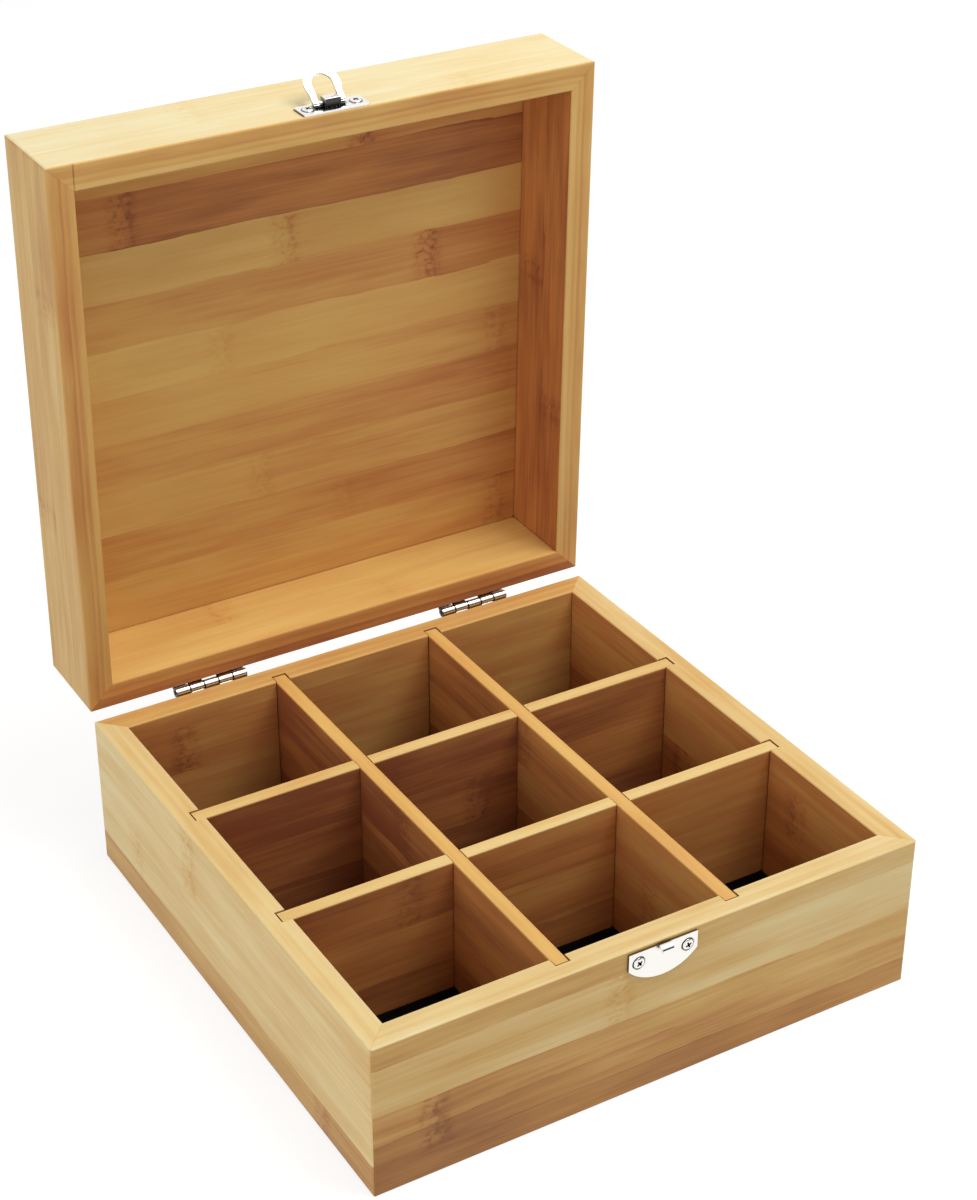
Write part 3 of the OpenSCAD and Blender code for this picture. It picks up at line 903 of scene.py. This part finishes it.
@dataclass
class Screws:
    """All screws, made by one Geometry Nodes tree and gathered into one piece for each body.

    Places are those on the closed box, in millimetres. Facets count round the head and round the
    shank, and sharp_angle is in degrees.
    """

    finish: Material
    hinge: ScrewSize = ScrewSize(1.9, 0.25)
    latch: ScrewSize = ScrewSize(2.35, 0.7)
    leaf_span: float = 21.0
    leaf_from_axis: float = 8.7
    leaf_face: float = 120.9
    latch_x: float = 1.5
    latch_span: float = 21.0
    latch_z: float = 73.6
    catch_span: float = 21.6
    catch_z: float = 61.7
    front_face: float = -120.9
    head_facets: int = 32
    shank_facets: int = 24
    sharp_angle: float = 35.0
    seed: int = 4

    def tree(self) -> Tree:
        """Builds the tree that turns points into screws.

        Returns:
            A tree whose inputs are the sizes of the screw, its axis, a seed and a finish.
        """
        tree = bpy.data.node_groups.new("Countersunk screws", "GeometryNodeTree")
        kinds = {"Points": "NodeSocketGeometry"}
        kinds |= {name: "NodeSocketFloat" for name in SCREW_INPUTS}
        kinds |= {"Axis": "NodeSocketVector", "Seed": "NodeSocketInt", "Finish": "NodeSocketMaterial"}
        for name, kind in kinds.items():
            tree.interface.new_socket(name, in_out="INPUT", socket_type=kind)
        tree.interface.new_socket("Screws", in_out="OUTPUT", socket_type="NodeSocketGeometry")
        given = add(tree, "NodeGroupInput").outputs

        # Dome, cone and shank, each on the Z axis with the rim of the head at zero
        radius, dome_h = given["Head Radius"], given["Dome Height"]
        shank_r, length = given["Shank Radius"], given["Length"]
        flat = add(tree, "CombineXYZ", {0: radius, 1: radius, 2: dome_h})
        facets = self.head_facets
        ball = add(tree, "GeometryNodeMeshUVSphere", {"Segments": facets, "Rings": 24, "Radius": 1.0})
        dome = add(tree, "GeometryNodeTransform", {"Geometry": ball, "Scale": flat})
        taper = {"Vertices": facets, "Radius Top": radius, "Radius Bottom": shank_r}
        cone = add(tree, "GeometryNodeMeshCone", taper | {"Depth": given["Cone Height"]})
        below = add(tree, "Math", {0: given["Cone Height"], 1: -1.0}, operation="MULTIPLY")
        down = add(tree, "CombineXYZ", {2: below})
        cone = add(tree, "GeometryNodeTransform", {"Geometry": cone, "Translation": down})
        round_bar = {"Vertices": self.shank_facets, "Radius": shank_r, "Depth": length}
        shank = add(tree, "GeometryNodeMeshCylinder", round_bar)
        middle = add(tree, "Math", {0: length, 1: -0.5}, operation="MULTIPLY")
        down = add(tree, "CombineXYZ", {2: middle})
        shank = add(tree, "GeometryNodeTransform", {"Geometry": shank, "Translation": down})
        body = add(tree, "GeometryNodeMeshBoolean", operation="UNION", solver="MANIFOLD")
        for part in (dome, cone, shank):
            tree.links.new(part.outputs[0], body.inputs["Mesh 2"])

        # Cross recess: two bars, longer than the head's radius, that reach down from above the dome
        reach = add(tree, "Math", {0: radius, 1: 1.1}, operation="MULTIPLY")
        high = add(tree, "Math", {0: given["Recess Depth"], 1: 2.0}, operation="MULTIPLY")
        bar = add(tree, "CombineXYZ", {0: reach, 1: given["Recess Width"], 2: high})
        lift = add(tree, "CombineXYZ", {2: dome_h})
        cuts = []
        for quarter in (0.0, pi / 2):
            cube = add(tree, "GeometryNodeMeshCube", {"Size": bar})
            turned = {"Geometry": cube, "Translation": lift, "Rotation": (0.0, 0.0, quarter)}
            cuts.append(add(tree, "GeometryNodeTransform", turned))
        cut = add(tree, "GeometryNodeMeshBoolean", operation="DIFFERENCE", solver="MANIFOLD")
        tree.links.new(body.outputs[0], cut.inputs["Mesh 1"])
        for bar in cuts:
            tree.links.new(bar.outputs[0], cut.inputs["Mesh 2"])

        # Each screw stands along the axis and is driven home at an angle of its own
        aim = add(tree, "FunctionNodeAlignRotationToVector", {"Vector": given["Axis"]}, axis="Z")
        draw = {2: 0.0, 3: pi, "Seed": given["Seed"]}
        angle = add(tree, "FunctionNodeRandomValue", draw, data_type="FLOAT").outputs[1]
        spin = add(tree, "FunctionNodeAxisAngleToRotation", {"Axis": (0.0, 0.0, 1.0), "Angle": angle})
        both = {"Rotation": aim, "Rotate By": spin}
        turned = add(tree, "FunctionNodeRotateRotation", both, rotation_space="LOCAL")
        spread = {"Points": given["Points"], "Instance": cut, "Rotation": turned}
        placed = add(tree, "GeometryNodeInstanceOnPoints", spread)
        real = add(tree, "GeometryNodeRealizeInstances", {"Geometry": placed})
        plated = add(tree, "GeometryNodeSetMaterial", {"Geometry": real, "Material": given["Finish"]})
        add(tree, "NodeGroupOutput", {0: plated})
        return tree

    def grow(self, tree: Tree, size: ScrewSize, axis: Vector, points: Iterable[Vector]) -> bpy.types.Mesh:
        """Runs the tree on a few points.

        Args:
            tree: The tree that makes screws.
            size: Sizes of the screws.
            axis: Way the heads face.
            points: Middle of each head's rim, in millimetres.

        Returns:
            The screws as a plain mesh, in metres.
        """
        seeds = bpy.data.meshes.new("screw places")
        seeds.from_pydata([tuple(point * MM) for point in points], [], [])
        carrier = new_object("screw places", seeds)
        modifier = carrier.modifiers.new("Screws", "NODES")
        modifier.node_group = tree
        values = {name: getattr(size, length) * MM for name, length in SCREW_INPUTS.items()}
        values |= {"Axis": tuple(axis), "Seed": self.seed, "Finish": self.finish}
        for item in tree.interface.items_tree:
            if item.in_out == "INPUT" and item.name in values:
                modifier[item.identifier] = values[item.name]
        evaluated = carrier.evaluated_get(bpy.context.evaluated_depsgraph_get())
        mesh = bpy.data.meshes.new_from_object(evaluated)
        bpy.data.objects.remove(carrier)
        return mesh

    def pair(self, x: float, y: float, z: float, span: float) -> list[Vector]:
        """Gives the places of two screws side by side."""
        return [Vector((x + side * span / 2, y, z)) for side in (-1, 1)]

    def open_lid(self, points: Iterable[Vector]) -> list[Vector]:
        """Swings points on the closed lid to where the open lid has them."""
        return [HINGE_AXIS + OPENING @ (point - HINGE_AXIS) for point in points]

    def build(self) -> None:
        """Makes the screws of the base and of the lid."""
        tree = self.tree()
        front, back = Vector((0, -1, 0)), Vector((0, 1, 0))
        low, high = HINGE_AXIS.z - self.leaf_from_axis, HINGE_AXIS.z + self.leaf_from_axis
        leaves = {
            z: [p for x in (-HINGE_X, HINGE_X) for p in self.pair(x, self.leaf_face, z, self.leaf_span)]
            for z in (low, high)
        }
        catch = self.pair(self.latch_x, self.front_face, self.catch_z, self.catch_span)
        plate = self.pair(self.latch_x, self.front_face, self.latch_z, self.latch_span)
        work = {
            "base": ((self.hinge, back, leaves[low]), (self.latch, front, catch)),
            "lid": (
                (self.hinge, OPENING @ back, self.open_lid(leaves[high])),
                (self.latch, OPENING @ front, self.open_lid(plate)),
            ),
        }
        stand_for = {
            "base": ("left_hinge_base_screws", "right_hinge_base_screws", "catch_screws"),
            "lid": ("left_hinge_lid_screws", "right_hinge_lid_screws", "latch_screws"),
        }
        for body, sets in work.items():
            form = bmesh.new()
            for size, axis, points in sets:
                form.from_mesh(self.grow(tree, size, axis, points))
            mesh = bpy.data.meshes.new(f"{body}_screws")
            form.to_mesh(mesh)
            form.free()
            mesh.materials.append(self.finish)
            mesh.shade_smooth()
            mesh.set_sharp_from_angle(angle=radians(self.sharp_angle))
            piece = new_object(mesh.name, mesh)
            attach(piece, body)
            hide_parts(*stand_for[body])
            log.info("made %s with %d faces", mesh.name, len(mesh.polygons))


# --- studio


@dataclass(frozen=True)
class SoftBox:
    """A square lamp that faces the box, with its side in metres and its power in watts."""

    name: str
    place: Place
    size: float
    power: float


@dataclass(frozen=True)
class Card:
    """A black card that faces the box, with its side in metres."""

    name: str
    place: Place
    size: float


@dataclass
class Studio:
    """White floor and backdrop, soft lamps, and the camera where the photographer stood.

    Ambient lights the box, while the lens sees white and metal sees it mirrored times as bright.
    Paper is what the floor throws back on to the box; the lens sees its glow and paper_shown.
    Floor size, floor_z and clip_end are in metres, places in millimetres, angles in degrees, and
    focal, centre and image in the photograph's pixels.
    """

    floor_size: float = 6.0
    floor_z: float = -0.0001
    ambient: float = 0.32
    mirrored: float = 1.2
    paper: float = 0.8
    paper_shown: float = 0.3
    glow: float = 0.82
    card_tone: float = 0.01
    lamps: tuple[SoftBox, ...] = (
        SoftBox("Key", (520, -330, 1600), 1.1, 21.5),
        SoftBox("Fill", (-1600, -250, 500), 1.2, 8.6),
    )
    cards: tuple[Card, ...] = (
        Card("camera_flag", (-560, -930, 800), 0.5),
        Card("far_flag", (900, -1500, 120), 1.4),
    )
    aim: Place = (0.0, 0.0, 120.0)
    focal: float = 2473.19
    centre: tuple[float, float] = (446.38, 595.32)
    image: tuple[int, int] = (977, 1200)
    sensor: float = 36.0
    clip_end: float = 20.0
    stand: Place = (-422.11, -701.26, 630.30)
    azimuth: float = -29.88
    elevation: float = 30.24
    roll: float = -0.5

    def build(self) -> None:
        """Sets up floor, world, lamps and camera."""
        self.floor()
        self.world()
        for lamp in self.lamps:
            self.hang(lamp)
        for card in self.cards:
            self.flag(card)
        self.camera()
        bpy.context.scene.view_settings.view_transform = "Standard"

    def sheet(self, name: str, corners: Iterable[Any], material: Material) -> bpy.types.Object:
        """Makes a flat piece of the set.

        Args:
            name: Its name.
            corners: Its four corners in metres, in turn.
            material: What it is made of.

        Returns:
            The sheet, which isn't staged yet.
        """
        mesh = bpy.data.meshes.new(name)
        mesh.from_pydata([tuple(corner) for corner in corners], [], [(0, 1, 2, 3)])
        mesh.materials.append(material)
        return new_object(name, mesh)

    def sight(self, tree: Tree, glow: float) -> tuple[Node, Node]:
        """Tells apart what is seen from what lights the box.

        Args:
            tree: The nodes of the floor or of the world.
            glow: Brightness that the lens sees.

        Returns:
            1 for rays that look at the white and 0 for rays of light, and the brightness to show.
        """
        rays = add(tree, "LightPath").outputs
        shown = add(tree, "Math", {0: rays["Is Camera Ray"], 1: rays["Is Glossy Ray"]}, operation="ADD")
        shown = add(tree, "Math", {0: shown, 1: rays["Is Transmission Ray"]}, operation="ADD", use_clamp=True)
        # Metal sees the white brighter than the lens does, so that its own tone can stay true
        lift = {0: rays["Is Glossy Ray"], 1: self.mirrored - 1.0, 2: glow}
        return shown, add(tree, "Math", lift, operation="MULTIPLY_ADD")

    def floor(self) -> None:
        """Lays a white floor that keeps a faint shadow of the box."""
        material, tree = new_material("White paper sweep")
        shown, power = self.sight(tree, self.glow)
        paper, faint = (
            add(tree, "BsdfDiffuse", {"Color": (*(share,) * 3, 1.0)})
            for share in (self.paper, self.paper_shown)
        )
        glow = add(tree, "Emission", {"Color": WHITE, "Strength": power})
        bright = add(tree, "AddShader", {0: faint, 1: glow})
        mixed = add(tree, "MixShader", {0: shown, 1: paper, 2: bright})
        add(tree, "OutputMaterial", {"Surface": mixed})
        side = self.floor_size / 2
        ends = [(-side, -side), (side, -side), (side, side), (-side, side)]
        piece = self.sheet("floor", [(x, y, self.floor_z) for x, y in ends], material)
        log.info("laid the floor")

    def world(self) -> None:
        """Surrounds the box with an even room that looks white."""
        world = bpy.data.worlds.new("White room")
        bpy.context.scene.world = world
        world.use_nodes = True
        tree = world.node_tree
        tree.nodes.clear()
        shown, power = self.sight(tree, 1.0)
        room = add(tree, "Background", {"Color": WHITE, "Strength": self.ambient})
        white = add(tree, "Background", {"Color": WHITE, "Strength": power})
        mixed = add(tree, "MixShader", {0: shown, 1: room, 2: white})
        add(tree, "OutputWorld", {"Surface": mixed})
        log.info("set the room")

    def hang(self, box: SoftBox) -> None:
        """Hangs a soft box that faces the middle of the part.

        Args:
            box: The lamp.
        """
        data = bpy.data.lights.new(box.name, "AREA")
        data.energy = box.power
        data.size = box.size
        lamp = new_object(box.name, data)
        lamp.location = Vector(box.place) * MM
        aim = Vector(self.aim) * MM - lamp.location
        lamp.rotation_euler = aim.to_track_quat("-Z", "Y").to_euler()
        log.info("hung %s", box.name)

    def flag(self, card: Card) -> None:
        """Stands a black card that only shows as a dark accent in polished metal.

        Args:
            card: The card.
        """
        middle = Vector(card.place) * MM
        across = Vector((middle.y, -middle.x, 0.0)).normalized() * card.size / 2
        high = across.cross(middle).normalized() * card.size / 2
        corners = [middle + x * across + y * high for x, y in ((-1, -1), (1, -1), (1, 1), (-1, 1))]
        material, tree = new_material("Black card")
        black = add(tree, "BsdfDiffuse", {"Color": (*(self.card_tone,) * 3, 1.0)})
        add(tree, "OutputMaterial", {"Surface": black})
        piece = self.sheet(card.name, corners, material)
        piece.visible_camera = False
        piece.visible_diffuse = False
        piece.visible_shadow = False
        log.info("stood %s", card.name)

    def camera(self) -> None:
        """Stands the camera where the photograph was taken."""
        data = bpy.data.cameras.new("Camera")
        width, height = self.image
        data.sensor_fit = "HORIZONTAL"
        data.sensor_width = self.sensor
        data.lens = self.focal * self.sensor / width
        data.shift_x = (width / 2 - self.centre[0]) / width
        data.shift_y = (self.centre[1] - height / 2) / width
        data.clip_end = self.clip_end
        a, e, r = radians(self.azimuth), radians(self.elevation), radians(self.roll)
        forward = Vector((-sin(a) * cos(e), cos(a) * cos(e), -sin(e)))
        right = Vector((cos(a), sin(a), 0.0))
        down = -right.cross(forward)
        image_x = cos(r) * right - sin(r) * down
        image_y = sin(r) * right + cos(r) * down
        turned = Matrix((image_x, -image_y, -forward)).transposed().to_4x4()
        camera = new_object("Camera", data)
        camera.matrix_world = Matrix.Translation(Vector(self.stand) * MM) @ turned
        bpy.context.scene.camera = camera
        log.info("stood the camera")


def main() -> None:
    """Builds the looks, sub-assembly by sub-assembly."""
    logging.basicConfig(level=logging.INFO, format="%(name)s: %(message)s")
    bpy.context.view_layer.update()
    bamboo = LacqueredBamboo()
    nickel = PlatedSteel().material()
    # Dark nickel that paints the shadow in the eye's mouth
    black = PlatedSteel("Painted shadow nickel", "#4a4745", "#0c0b0b", roughness=0.3).material()
    Carcass(bamboo).build()
    PressedFelt().dress("felt_liner")
    LidBoards(bamboo).build()
    # Hinge plating: less painted shade in its crevices, and painted shade in the gaps between knuckles
    hinge = PlatedSteel("Nickel-plated hinge steel", crevice=1.0, depth=0.45, shade=(0.4, 0.8), pitch=6.64)
    Fittings(nickel, black, hinge.material()).build()
    Screws(nickel).build()
    Studio().build()


if __name__ == "__main__":
    main()
